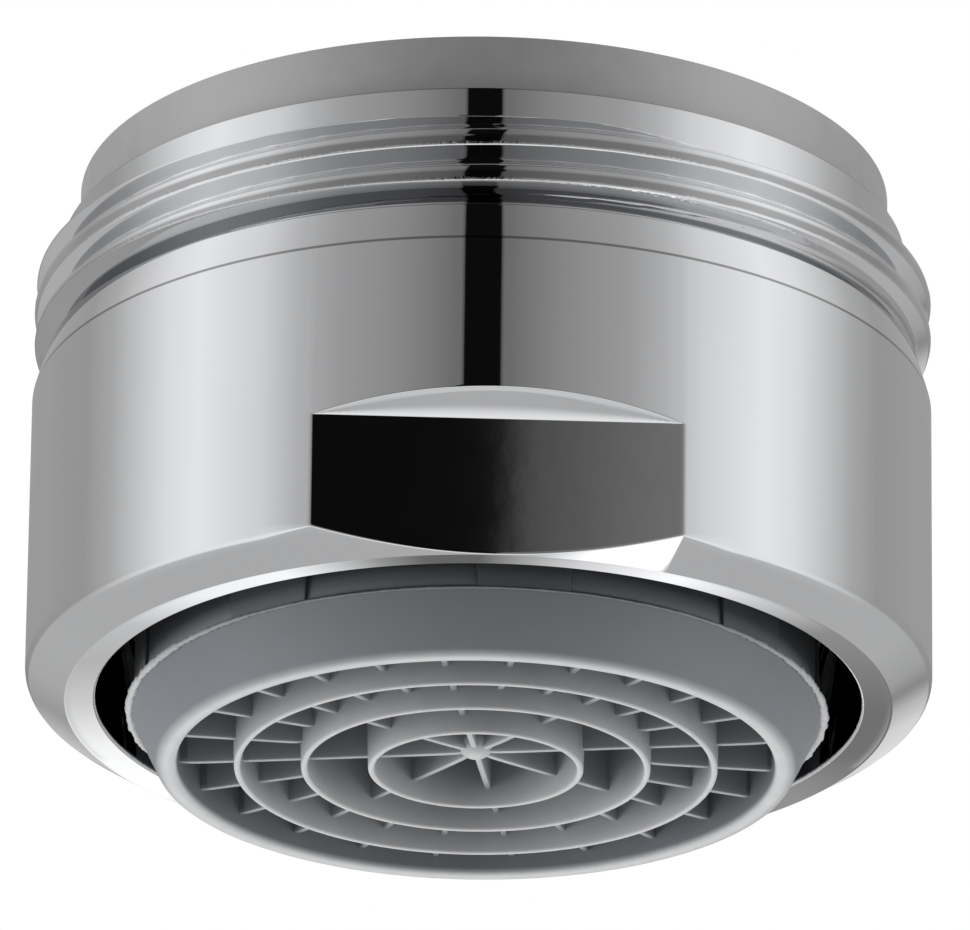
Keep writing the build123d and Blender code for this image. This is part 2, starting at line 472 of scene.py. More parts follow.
def surface_grain():
    """Node group: fine noise on Object coordinates as an uneven roughness and a bump height."""
    group = bpy.data.node_groups.get("surface_grain")
    if group:
        return group
    group = bpy.data.node_groups.new("surface_grain", "ShaderNodeTree")
    sockets = group.interface
    for name, default in (("Scale", 2000.0), ("Roughness", 0.4), ("Spread", 0.1)):
        socket = sockets.new_socket(name, in_out="INPUT", socket_type="NodeSocketFloat")
        socket.default_value = default
    sockets.new_socket("Roughness", in_out="OUTPUT", socket_type="NodeSocketFloat")
    sockets.new_socket("Height", in_out="OUTPUT", socket_type="NodeSocketFloat")
    wire = Wiring(group)
    inputs = wire.add("NodeGroupInput").outputs
    outputs = wire.add("NodeGroupOutput").inputs
    place = wire.place()
    fine = wire.add("ShaderNodeTexNoise")
    broad = wire.add("ShaderNodeTexNoise")
    fine.inputs["Detail"].default_value = 3.0
    broad.inputs["Detail"].default_value = 2.0
    for noise in (fine, broad):
        wire.join(place, noise.inputs["Vector"])
    wire.join(inputs["Scale"], fine.inputs["Scale"])
    wire.join(wire.math("MULTIPLY", inputs["Scale"], BROAD_SHARE), broad.inputs["Scale"])
    uneven = wire.math("SUBTRACT", wire.math("ADD", fine.outputs[0], broad.outputs[0]), 1.0)
    roughness = wire.math("MULTIPLY_ADD", uneven, inputs["Spread"], inputs["Roughness"])
    wire.join(roughness, outputs["Roughness"])
    wire.join(fine.outputs[0], outputs["Height"])
    return group


BUMP_DISTANCE = 0.02 * MM


def finish(name, scale, roughness, spread, bump):
    """Material with a Principled shader whose roughness and bump come from the grain group."""
    material = bpy.data.materials.new(name)
    material.use_nodes = True
    wire = Wiring(material.node_tree)
    shader = material.node_tree.nodes["Principled BSDF"]
    grain = wire.add("ShaderNodeGroup", node_tree=surface_grain())
    for value, socket in zip((scale, roughness, spread), grain.inputs):
        socket.default_value = value
    wire.join(grain.outputs["Roughness"], shader.inputs["Roughness"])
    relief = wire.add("ShaderNodeBump")
    relief.inputs["Strength"].default_value = bump
    relief.inputs["Distance"].default_value = BUMP_DISTANCE
    wire.join(grain.outputs["Height"], relief.inputs["Height"])
    wire.join(relief.outputs[0], shader.inputs["Normal"])
    return material, wire, shader, grain


def tone(rgb, share=1.0):
    """Share of a colour, with full alpha."""
    return (*(share * part for part in rgb), 1.0)


LAND_LEAN = 0.41
# Share of the chrome's colour where the edge mask paints shade on the plate
CHROME_SHADE_SHARE = 0.25
BURR_SCALE = 7000.0


def chrome_finish(colours):
    """Polished chrome plate with three masks: painted shade that darkens the plate, shading that leans
    outwards, and torn burrs.
    """
    material, wire, shader, _ = finish("chromed_brass", scale=900.0, roughness=0.024,
                                       spread=0.01, bump=0.012)
    outward = wire.vector("NORMALIZE", wire.vector("MULTIPLY", wire.place(), (1.0, 1.0, 0.0)))
    shift = wire.add("ShaderNodeVectorMath", operation="SCALE")
    wire.join(outward, shift.inputs[0])
    wire.join(wire.math("MULTIPLY", wire.mask("lean"), LAND_LEAN), shift.inputs["Scale"])
    normal = wire.vector("ADD", wire.add("ShaderNodeNewGeometry").outputs["Normal"], shift.outputs[0])
    torn = wire.add("ShaderNodeTexNoise")
    torn.inputs["Scale"].default_value = BURR_SCALE
    torn.inputs["Detail"].default_value = 2.0
    wire.join(wire.place(), torn.inputs["Vector"])
    ragged = wire.add("ShaderNodeBump")
    ragged.inputs["Distance"].default_value = BUMP_DISTANCE
    wire.join(wire.mask("burr"), ragged.inputs["Strength"])
    wire.join(torn.outputs[0], ragged.inputs["Height"])
    wire.join(wire.vector("NORMALIZE", normal), ragged.inputs["Normal"])
    relief = shader.inputs["Normal"].links[0].from_node
    wire.join(ragged.outputs[0], relief.inputs["Normal"])
    # Painted shade: the edge mask darkens the plate
    plate = wire.mix_colour(wire.mask("edge"), tone(colours.chrome), tone(colours.chrome, CHROME_SHADE_SHARE))
    wire.join(plate, shader.inputs["Base Color"])
    shader.inputs["Metallic"].default_value = 1.0
    return material


# Painted light in the insert's hollow, pale at the rim's plane and less so with depth, and the share of the
# body colour for painted shade
GLOW_DEPTH = 0.4 * MM
RIM_GLOW = 1.0
DEEP_GLOW = 0.3
PLASTIC_SHADE_SHARE = 0.2
MOTTLE_SHARE = 0.7
MOTTLE_SPREAD = 0.25
MOTTLE_LEVEL = 0.04


def moulded_finish(name, body, edge, roughness, hollow=0.0):
    """Satin moulded plastic with a faint mottle, with a painted highlight or painted shade as its edge mask
    is above or below 0.

    Inside the hollow radius it has painted light, pale at the rim's plane and less so with depth.
    """
    material, wire, shader, grain = finish(name, scale=1500.0, roughness=roughness, spread=0.12, bump=0.25)
    mark = wire.mask("edge")
    x, y, z = wire.parts(wire.place())
    # Painted light inside the hollow, then painted highlight and painted shade by the edge mask
    inside = wire.math("LESS_THAN", wire.reach(x, y), hollow)
    fall = wire.math("EXPONENT", wire.math("DIVIDE", z, -GLOW_DEPTH))
    glow = wire.math("MULTIPLY", inside, wire.math("MULTIPLY_ADD", fall, RIM_GLOW, DEEP_GLOW))
    pale = wire.mix_colour(wire.math("MAXIMUM", mark, glow), tone(body), tone(edge))
    shaded = wire.mix_colour(wire.math("MULTIPLY", mark, -1.0), pale, tone(body, PLASTIC_SHADE_SHARE))
    mottle = wire.math("MULTIPLY", wire.math("SUBTRACT", grain.outputs["Height"], 0.5), MOTTLE_SPREAD)
    uneven = wire.mix_colour(wire.math("ADD", mottle, MOTTLE_LEVEL), shaded, tone(body, MOTTLE_SHARE))
    wire.join(uneven, shader.inputs["Base Color"])
    return material


def mottled_finish(name, colour, darker, scale, roughness, bump, metallic):
    """Finish whose colour goes with the grain from the darker share of a colour to that colour."""
    material, wire, shader, grain = finish(name, scale, roughness, spread=0.15, bump=bump)
    mottle = wire.mix_colour(grain.outputs["Height"], tone(colour, darker), tone(colour))
    wire.join(mottle, shader.inputs["Base Color"])
    shader.inputs["Metallic"].default_value = metallic
    return material


# Housing

# Levels of painted shade on the chrome: on the crests and the relief's flank, and as dark lines at the
# shoulder and under the neck
THREAD_SHADE = 0.65
RELIEF_SHADE = 0.6
SHADE_BLEND = 0.08 * MM
SHADOW_LINE_MARK = 0.8
EDGE_BURR = 0.7
# Patchiness of the burr along the turn, and how fast the crests' shade comes in towards the front
PATCH_LEVEL = 0.7
PATCH_SPREAD = 0.5
FRONT_GAIN = 2.8
# Lean of the shelf's shading at its lower and upper edge
SHELF_LEAN = (0.6, -0.22)
# Share of the start cut by angle in degrees: the thread starts at the right of the front
START_ANGLES = (0, 60, 150, 282, 296, 360)
START_SHARES = (1, 1, 0, 0, 1, 1)
FACE_BLEND = 0.01 * MM
LEAST_COSINE = 0.2
LEAST_RISE = 0.02 * MM
# Angle in radians over which the foot's rounding grows beside a flat
FOOT_BLEND = 0.12
# How far the rows of the thread stay away from the relief and from the end
THREAD_ENDS = (0.01 * MM, 0.08 * MM)


class EndHeights(NamedTuple):
    """Heights of the threaded end, from the relief groove to the neck."""
    relief: float
    relief_top: float
    first_crest: float
    chamfer: float
    neck: float


def end_heights(sizes):
    """Heights of the threaded end: the lower ones go up from the lip, the upper ones down from the end."""
    relief = HOUSING_LOW.z + sizes.body_height + sizes.cone_height
    relief_top = relief + sizes.relief_width
    neck = HOUSING_HIGH.z - sizes.neck_height
    return EndHeights(relief, relief_top, relief_top + sizes.relief_wall, neck - sizes.lead_in_height, neck)


def groove_offset(sizes, angles, heights):
    """Height above the nearest groove middle, which climbs one pitch a turn, to the right at the front."""
    middle = sizes.groove_height + sizes.pitch * (angles / (2 * np.pi) + 0.25)
    return (heights[None, :] - middle[:, None] + sizes.pitch / 2) % sizes.pitch - sizes.pitch / 2


def crest_burr(sizes, angles, heights):
    """Mask of the rough lower edges of the crests: bell curves over the height, patchy along the turn.

    The edge of the lowest crest is level, and the others climb with the groove up to the chamfer.
    """
    offset = groove_offset(sizes, angles, heights)
    end = end_heights(sizes)
    climbing = (heights > end.first_crest + 3 * sizes.burr) & (heights < end.chamfer - sizes.burr)
    bells = np.exp(-((offset - sizes.groove_width / 2) / sizes.burr) ** 2) * climbing
    bells += np.exp(-((heights - end.first_crest) / sizes.burr) ** 2)
    patchy = np.clip(PATCH_LEVEL + PATCH_SPREAD * wobble(angles, (3, 11, 29, 67), 3), 0.0, 1.0)
    return bells * patchy[:, None]


def thread_shade(sizes, angles, heights):
    """Mask of painted shade on the thread: the lower half of each crest, and the relief's upper flank.

    The crests' shade fades towards the sides with the sine of the angle.
    """
    below_apex = sizes.pitch / 2 + sizes.crest_lift - groove_offset(sizes, angles, heights) % sizes.pitch
    crest_half = (sizes.pitch - sizes.groove_width) / 2 + sizes.crest_lift
    lower_half = np.clip(below_apex / SHADE_BLEND, 0.0, 1.0) * (below_apex < crest_half)
    end = end_heights(sizes)
    frontal = np.clip(FRONT_GAIN * np.abs(np.sin(angles)) - 1.0, 0.0, 1.0)[:, None]
    relief = np.broadcast_to(heights < end.first_crest, lower_half.shape)
    return np.where(relief, RELIEF_SHADE, lower_half * (heights < end.chamfer) * frontal) * THREAD_SHADE


def thread_radius(sizes, angles, heights):
    """Radius of the threaded end by angle and height.

    It is the least of four: the relief's upper flank, the bulging crest, the chamfer down to the
    plain neck, which is cut lower where the thread starts, and a climbing V groove of 60 degrees.
    """
    offset = groove_offset(sizes, angles, heights)
    end = end_heights(sizes)
    far_out = 2 * THREAD_RADIUS
    flank = 1 / math.tan(math.radians(30))
    root = THREAD_RADIUS - flank * sizes.groove_width / 2
    groove = root + flank * np.sqrt(offset**2 + sizes.edge_round**2)
    groove = np.where(heights > end.neck, far_out, groove)
    along_crest = offset % sizes.pitch - sizes.pitch / 2 - sizes.crest_lift
    crest = THREAD_RADIUS - along_crest**2 / (2 * sizes.crest_bulge)
    wall_slope = (THREAD_RADIUS - sizes.relief_radius) / sizes.relief_wall
    wall = np.minimum(sizes.relief_radius + (heights - end.relief_top) * wall_slope, far_out)
    start = np.interp(np.degrees(angles), START_ANGLES, START_SHARES) * sizes.start_cut
    chamfer_slope = (THREAD_RADIUS - sizes.neck_radius) / sizes.lead_in_height
    under_neck = np.maximum(end.neck - start[:, None] - heights, 0.0)
    chamfer = sizes.neck_radius + under_neck * chamfer_slope
    outside = smooth_min(wall[None, :], chamfer, sizes.crest_edge)
    outside = smooth_min(outside, crest, sizes.crest_edge)
    return smooth_min(groove, outside, np.where(offset > 0, sizes.crest_edge, sizes.crest_round))


def housing_angles(sizes):
    """Even angles with added ones beside the upright edges of the spanner flats."""
    corner = math.acos(FLAT_DISTANCE / sizes.body_radius)
    beside = np.radians((-0.3, -0.1, 0.0, 0.1, 0.3))
    edges = np.array([centre + side * corner for centre in (-np.pi / 2, np.pi / 2) for side in (-1, 1)])
    extra = (edges[:, None] + beside[None, :]).ravel() % (2 * np.pi)
    return np.unique(np.concatenate((full_turn(sizes.columns), extra)))


def housing_surface(sizes):
    """Housing: a closed outline of (radius, height) at every angle, cut by the flats and the thread.

    On a flat the outside radius is the flat's distance over the cosine of the angle from its
    middle, and the shelf above it rises with the distance past the flat until it meets the body.
    """
    angles = housing_angles(sizes)
    from_flat = np.abs(angles % np.pi - np.pi / 2)
    cosine = np.maximum(np.cos(from_flat), LEAST_COSINE)
    radius = sizes.body_radius
    face = smooth_min(FLAT_DISTANCE / cosine, radius, FACE_BLEND)
    lip_z = HOUSING_LOW.z
    chamfer_slope = sizes.chamfer_height / (radius - sizes.lip_radius)
    chamfer_z = lip_z + (face - sizes.lip_radius) * chamfer_slope
    shelf_z = np.full_like(face, lip_z + sizes.flat_height)
    shelf_rise = np.maximum((radius * cosine - FLAT_DISTANCE) * math.tan(sizes.shelf_slope), LEAST_RISE)
    shoulder_z = lip_z + sizes.body_height
    end = end_heights(sizes)
    end_z = HOUSING_HIGH.z
    flange_z = end_z - sizes.flange_depth
    ledge_z = flange_z - sizes.ledge_thickness
    corners = [
        (sizes.bore_radius, lip_z + sizes.land_dish),
        (sizes.lip_radius, lip_z),
        (face, chamfer_z),
        (face, shelf_z),
        (radius, shelf_z + shelf_rise),
        (radius, shoulder_z),
        (radius - sizes.cone_depth, end.relief),
        (sizes.relief_radius, end.relief),
        (sizes.relief_radius, end.relief_top),
        (sizes.neck_radius, end_z),
        (sizes.counterbore_radius, end_z),
        (sizes.counterbore_radius, flange_z),
        (sizes.ledge_radius, flange_z),
        (sizes.ledge_radius, ledge_z),
        (sizes.bore_radius, ledge_z),
    ]
    ones = np.ones_like(angles)
    corners = np.stack([np.stack((r * ones, z * ones), -1) for r, z in corners], axis=1)
    steps = 5
    radii = np.full(corners.shape[:2], sizes.edge_round)
    bore_corner, foot_corner = 0, 2
    radii[:, bore_corner] *= 2
    past_flat = from_flat - math.acos(FLAT_DISTANCE / radius)
    foot_share = np.clip(past_flat / FOOT_BLEND, 0.0, 1.0)
    radii[:, foot_corner] += (sizes.foot_round - sizes.edge_round) * foot_share
    outline = rounded(corners, radii, steps)
    lower_rows = 9 * steps
    heights = np.linspace(end.relief_top + THREAD_ENDS[0], end_z - THREAD_ENDS[1], sizes.thread_rows)
    thread = np.stack((thread_radius(sizes, angles, heights),
                       np.broadcast_to(heights, (len(angles), len(heights)))), -1)
    outline = np.concatenate((outline[:, :lower_rows], thread, outline[:, lower_rows:]), axis=1)
    points = turned(outline, angles)
    shelf_row, shoulder_row = 4 * steps, 5 * steps
    thread_row, neck_row = lower_rows, lower_rows + len(heights)
    painted_shade, lean, burr = np.zeros((3,) + points.shape[:2])
    # Painted shade: dark lines along the shoulder and under the neck, and the shade on the thread
    painted_shade[shoulder_row + 1:shoulder_row + steps - 1] = SHADOW_LINE_MARK
    painted_shade[thread_row:neck_row] = thread_shade(sizes, angles, heights).T
    painted_shade[neck_row + 1:neck_row + steps] = SHADOW_LINE_MARK
    lean[steps - 1:steps + 1] = 1.0
    lean[shelf_row - 1:shelf_row + 1] = np.multiply.outer(SHELF_LEAN, past_flat < 0)
    burr[1:steps - 1] = EDGE_BURR
    burr[thread_row:neck_row] = crest_burr(sizes, angles, heights).T
    return Surface(points, painted_shade, masks=(("lean", lean), ("burr", burr)))


# Washer

def washer_surface(sizes):
    """Flat washer: a rectangle with rounded corners carried once round."""
    low, high = WASHER_LOW.z, WASHER_HIGH.z
    corners = ring_corners(sizes.hole_radius, sizes.radius, low, high)
    return plain(turned(rounded(corners, sizes.edge_round, 7), full_turn(sizes.columns)))


# Outlet insert

# Painted light and shade on the insert: a faint painted shade on the skirt, painted light on the sleeve
# just above it, and painted shadow higher up in the gap
SKIRT_SHADE = -0.08
SLEEVE_LIGHT = 0.5
SLEEVE_SHADOW = -0.85
SKIRT_STEP = 0.12 * MM
BEAD_PLACE = (0.02 * MM, -0.04 * MM)
BEAD_WANDER = 0.012 * MM
# Thickness of the flash at the front, what it gains at the sides, and how uneven it is
BEAD_FRONT = 0.5
BEAD_SIDE = 1.4
BEAD_UNEVEN = 0.4
# Rounding of the shell's corners as shares of the rim's
SHELL_ROUNDS = (1, 1, 0.25, 0.15, 0.25, 0.25, 0.25, 0.15, 0.15)
HOLLOW_MARGIN = 0.15 * MM
RIB_OVERLAP = 0.2 * MM
RIB_FLANK = 0.97
RING_ROUND = 0.09 * MM
SPOKE_DRAFT = 0.6
# Painted highlight on the spokes' lower edges, how much it fades outwards as painted shade, and the share
# of the height it covers
SPOKE_HIGHLIGHT = 0.75
SPOKE_SHADE_FADE = 0.4
SPOKE_EDGE = 0.06
HUB_SQUARE = 0.4
HUB_FACE = -0.6


def insert_shell(sizes):
    """Rim, skirt, sleeve and seat of the insert as one turned outline.

    It has a painted highlight on the rim's lower face, and on the sleeve painted light at the skirt that
    goes over into painted shadow above.
    """
    corners = [
        (sizes.rim_hole_radius, 0.0),
        (sizes.rim_radius, 0.0),
        (sizes.skirt_radius, sizes.skirt_height),
        (sizes.sleeve_radius, sizes.skirt_height + SKIRT_STEP),
        (sizes.sleeve_radius, sizes.skirt_height + sizes.sleeve_shade),
        (sizes.sleeve_radius, INSERT_TOP),
        (sizes.socket_radius, INSERT_TOP),
        (sizes.socket_radius, sizes.seat_height),
        (sizes.rim_hole_radius, sizes.seat_height),
    ]
    radii = np.array(SHELL_ROUNDS) * sizes.rim_round
    steps = 7
    points = turned(rounded(corners, radii, steps), full_turn(sizes.columns))
    edge = np.zeros(points.shape[:2])
    # Painted highlight on the rim's lower face and outer wall, painted shade on the skirt, and painted
    # light then painted shadow on the sleeve
    edge[:steps] = np.linspace(0.0, 2.0, steps).clip(0.0, 1.0)[:, None]
    edge[steps:2 * steps] = np.linspace(1.0, 0.0, steps)[:, None]
    edge[2 * steps:3 * steps] = SKIRT_SHADE
    edge[3 * steps:4 * steps] = SLEEVE_LIGHT
    edge[4 * steps:6 * steps] = SLEEVE_SHADOW
    return Surface(points, edge)


def side_share(angles):
    """Share of an angle that faces sideways: the fourth power of its cosine."""
    return np.cos(angles) ** 4


def insert_bead(sizes):
    """Thin uneven flash round the skirt's upper edge, with a painted highlight at the sides.

    It is a ring whose thickness and place wander.
    """
    angles = full_turn(sizes.columns * 2)
    thick = sizes.bead_radius * (BEAD_FRONT + BEAD_SIDE * side_share(angles))
    thick *= 1 + BEAD_UNEVEN * wobble(angles, (7, 19, 41, 83, 131, 197, 241), 11)
    place = sizes.skirt_radius + BEAD_PLACE[0] + BEAD_WANDER * wobble(angles, (5, 23, 57, 101, 163), 12)
    height = sizes.skirt_height + BEAD_PLACE[1]
    around = full_turn(10)
    outline = np.stack((place[:, None] + thick[:, None] * np.cos(around),
                        height + thick[:, None] * np.sin(around)), -1)
    points = turned(outline, angles)
    # Painted highlight at the sides
    return Surface(points, np.broadcast_to(side_share(angles), points.shape[:2]))


def bent_block(unit, middle, half_angle, radius, half_depth, low, high):
    """Rounded box bent about the axis: x turns, y goes outwards and z rises."""
    angles = middle - unit[..., 0] * half_angle
    reach = radius + unit[..., 1] * half_depth
    heights = (low + high) / 2 + unit[..., 2] * (high - low) / 2
    return np.stack((reach * np.cos(angles), reach * np.sin(angles), heights), -1)


def insert_ribs(sizes):
    """Centring ribs: rounded blocks bent round the sleeve, with painted light low down going over into
    painted shadow upwards as on the sleeve, and painted shadow on their flanks.
    """
    unit = block(25, 48, 0.16)
    between = 2 * np.pi / sizes.spoke_count
    inner = sizes.sleeve_radius - RIB_OVERLAP
    low = sizes.skirt_height - SKIRT_STEP
    # Painted light at the foot going over into painted shadow upwards, and painted shadow on the flanks
    above = (unit[..., 2] + 1) / 2 * sizes.rib_height / sizes.sleeve_shade
    shade = SLEEVE_LIGHT + (SLEEVE_SHADOW - SLEEVE_LIGHT) * np.clip(above, 0.0, 1.0)
    shade = np.where(np.abs(unit[..., 0]) > RIB_FLANK, SLEEVE_SHADOW, shade)
    places = sizes.turn + between + full_turn(sizes.rib_count)
    middle, half_depth = (sizes.rib_radius + inner) / 2, (sizes.rib_radius - inner) / 2
    ribs = [bent_block(unit, place, sizes.rib_angle / 2, middle, half_depth, low, low + sizes.rib_height)
            for place in places]
    return [Surface(rib, shade, wrap_rows=False) for rib in ribs]


def grille_rings(sizes):
    """Grille rings: thin walls that thicken upwards, with rounded lower edges that carry a painted
    highlight.
    """
    made = []
    for index in range(sizes.ring_count):
        outer = sizes.rim_hole_radius - sizes.ring_gap - index * sizes.ring_pitch
        inner = outer - sizes.ring_wall
        draft = sizes.ring_draft / 2
        corners = [(inner, 0.0), (outer, 0.0), (outer + draft, sizes.grille_height),
                   (inner - draft, sizes.grille_height)]
        steps = 7
        points = turned(rounded(corners, RING_ROUND, steps), full_turn(sizes.columns))
        # Painted highlight on the lower edges
        edge = np.zeros(points.shape[:2])
        fade = np.linspace(0.0, 1.0, steps)[:, None]
        edge[:steps] = fade
        edge[steps:2 * steps] = 1 - fade
        made.append(Surface(points, edge))
    return made


def grille_spokes(sizes):
    """Spokes: rounded blades along the radius that thicken upwards, with a painted highlight on their lower
    edges that fades outwards.
    """
    unit = block(17, 40, 0.14)
    low, high = sizes.spoke_recess, sizes.grille_height
    rim_middle = (sizes.rim_hole_radius + sizes.rim_radius) / 2
    second_ring = sizes.rim_hole_radius - sizes.ring_gap - sizes.ring_pitch - sizes.ring_wall / 2
    per_long = sizes.spoke_count // sizes.long_spoke_count
    made = []
    for index in range(sizes.spoke_count):
        inner = 0.0 if index % per_long == 0 else second_ring
        place = sizes.turn + 2 * np.pi * index / sizes.spoke_count
        along = (inner + rim_middle) / 2 + unit[..., 0] * (rim_middle - inner) / 2
        lift = (unit[..., 2] + 1) / 2
        across = unit[..., 1] * sizes.spoke_wall / 2 * (1 + SPOKE_DRAFT * lift)
        heights = low + lift * (high - low)
        points = np.stack((along * math.cos(place) - across * math.sin(place),
                           along * math.sin(place) + across * math.cos(place), heights), -1)
        # Painted highlight on the lower edges, fading outwards as painted shade
        pale = SPOKE_HIGHLIGHT - SPOKE_SHADE_FADE * np.clip(along / second_ring, 0.0, 1.0)
        made.append(Surface(points, np.where(lift < SPOKE_EDGE, pale, 0.0), wrap_rows=False))
    return made


def grille_hub(sizes):
    """Hub: a rounded block turned into a short post, with a painted highlight on its lower face."""
    unit = block(17, 32, 1.0)
    height = np.sign(unit[..., 2]) * np.abs(unit[..., 2]) ** HUB_SQUARE
    low, high = sizes.hub_recess, sizes.grille_height
    points = np.stack((unit[..., 0] * sizes.hub_radius, unit[..., 1] * sizes.hub_radius,
                       (low + high) / 2 + height * (high - low) / 2), -1)
    # Painted highlight on the lower face
    return Surface(points, np.where(height < HUB_FACE, 1.0, 0.0), wrap_rows=False)


# Screens

RIM_ROUND = 0.08 * MM
SET_IN = 0.2 * MM
RIM_COLUMNS = 160
WIRE_SIDES = 6
POINTS_PER_PITCH = 6
# Swing of a wire as a share of its radius, and the bars' heights by direction
WAVE_SHARE = 0.9
BAR_THICKNESS = (0.96, 0.8)


def screen_surfaces(sizes, low, high, radius):
    """Woven screen: wires in two directions that wave over and under each other, in a pressed rim.

    A wire's middle is (t, k p, A cos(pi (t / p + k))), and its section is a small hexagon.
    """
    middle = (low + high) / 2
    inner = radius - sizes.rim_width
    rim = rounded(ring_corners(inner, radius, low, high), RIM_ROUND)
    made = [plain(turned(rim, full_turn(RIM_COLUMNS)))]
    count = int(inner / sizes.pitch)
    swing = sizes.wire_radius * WAVE_SHARE
    section = full_turn(WIRE_SIDES)
    for direction in (0, 1):
        for index in range(-count, count + 1):
            aside = index * sizes.pitch
            reach = math.sqrt((inner + SET_IN) ** 2 - aside**2)
            along = np.linspace(-reach, reach, POINTS_PER_PITCH * (2 * count + 1))
            wave = swing * np.cos(np.pi * (along / sizes.pitch + index + direction))
            sideways = aside + sizes.wire_radius * np.cos(section)[None, :] + 0 * along[:, None]
            heights = middle + wave[:, None] + sizes.wire_radius * np.sin(section)[None, :]
            run = along[:, None] + 0 * sideways
            order = (run, sideways, heights) if direction == 0 else (-sideways, run, heights)
            tube = np.stack(order, -1)
            ends = tube[[0, -1]].mean(axis=1, keepdims=True) + 0 * tube[[0, -1]]
            made.append(plain(np.concatenate((ends[:1], tube, ends[1:])), wrap_rows=False))
    return made


def strainer_surfaces(sizes, low, high, radius):
    """Moulded strainer: rounded straight bars in two directions in a plain rim.

    The bars of the second direction are a little thinner.
    """
    inner = radius - 2 * sizes.rim_width
    rim = rounded(ring_corners(inner, radius, low, high), RIM_ROUND)
    made = [plain(turned(rim, full_turn(RIM_COLUMNS)))]
    unit = block(9, 24, 0.14)
    count = int(inner / sizes.strainer_pitch)
    for direction, thickness in enumerate(BAR_THICKNESS):
        for index in range(-count, count + 1):
            aside = index * sizes.strainer_pitch
            run = unit[..., 0] * (math.sqrt(inner**2 - aside**2) + SET_IN)
            sideways = aside + unit[..., 1] * sizes.strainer_bar / 2
            heights = (low + high) / 2 + unit[..., 2] * thickness * (high - low) / 2
            order = (run, sideways, heights) if direction == 0 else (-sideways, run, heights)
            made.append(plain(np.stack(order, -1), wrap_rows=False))
    return made


# Operators

class AERATOR_OT_housing(bpy.types.Operator):
    """Housing with its flats, shoulder, relief and thread"""
    bl_idname = "aerator.housing"
    bl_label = "Housing"

    def execute(self, context):
        surface = housing_surface(context.scene.aerator_housing)
        material = chrome_finish(context.scene.aerator_finish)
        piece("chromed_housing", [surface], material, "chromed_brass", "housing")
        return {"FINISHED"}


class AERATOR_OT_washer(bpy.types.Operator):
    """Sealing washer on the threaded end"""
    bl_idname = "aerator.washer"
    bl_label = "Sealing washer"

    def execute(self, context):
        surface = washer_surface(context.scene.aerator_washer)
        material = mottled_finish("washer_rubber", context.scene.aerator_finish.rubber, darker=0.85,
                                  scale=1800.0, roughness=0.45, bump=0.2, metallic=0.6)
        piece("rubber_washer", [surface], material, "washer_rubber", "sealing_washer")
        return {"FINISHED"}


class AERATOR_OT_insert(bpy.types.Operator):
    """Outlet insert with its rim, skirt, ribs and grille"""
    bl_idname = "aerator.insert"
    bl_label = "Outlet insert"

    def execute(self, context):
        sizes = context.scene.aerator_insert
        colours = context.scene.aerator_finish
        surfaces = [insert_shell(sizes), insert_bead(sizes), grille_hub(sizes)]
        surfaces += insert_ribs(sizes) + grille_rings(sizes) + grille_spokes(sizes)
        shift = np.array(sizes.seat_shift)
        surfaces = [surface._replace(points=surface.points + shift) for surface in surfaces]
        material = moulded_finish("outlet_plastic", colours.insert, colours.insert_highlight, 0.42,
                                  sizes.rim_hole_radius - HOLLOW_MARGIN)
        piece("outlet_moulding", surfaces, material, "outlet_plastic", "outlet_insert")
        return {"FINISHED"}


class AERATOR_OT_screens(bpy.types.Operator):
    """Two woven screens under the mixing chamber"""
    bl_idname = "aerator.screens"
    bl_label = "Woven screens"

    def execute(self, context):
        material = mottled_finish("screen_steel", context.scene.aerator_finish.steel, darker=0.8,
                                  scale=2500.0, roughness=0.32, bump=0.1, metallic=1.0)
        for node in ("screen_lower", "screen_upper"):
            low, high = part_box(node)
            surfaces = screen_surfaces(context.scene.aerator_screens, low.z, high.z, high.x)
            piece("woven_" + node, surfaces, material, "screen_steel", node)
        return {"FINISHED"}


class AERATOR_OT_cartridge(bpy.types.Operator):
    """Strainer, and the finish of the cartridge pieces whose solids are shown as they are"""
    bl_idname = "aerator.cartridge"
    bl_label = "Cartridge"

    def execute(self, context):
        colours = context.scene.aerator_finish
        material = moulded_finish("cartridge_plastic", colours.cartridge, colours.cartridge, 0.45)
        low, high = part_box("strainer")
        surfaces = strainer_surfaces(context.scene.aerator_screens, low.z, high.z, high.x)
        piece("moulded_strainer", surfaces, material, "cartridge_plastic", "strainer")
        for node in ("jet_plate", "mixing_chamber", "screen_spacer"):
            shown = frame["nodes"][node]
            shown.data.materials.clear()
            shown.data.materials.append(material)
        return {"FINISHED"}


class AERATOR_OT_stage(bpy.types.Operator):
    """Camera, pale floor, lamps and the studio round the object"""
    bl_idname = "aerator.stage"
    bl_label = "Stage"

    def execute(self, context):
        settings = context.scene.aerator_stage
        make_camera(settings)
        make_world(settings)
        make_lamps(settings)
        make_floor(settings, context.scene.aerator_finish)
        context.scene.view_settings.view_transform = "Standard"
        return {"FINISHED"}


# Stage

PICTURE_WIDTH = 970
PICTURE_HEIGHT = 930
SENSOR_WIDTH = 36.0


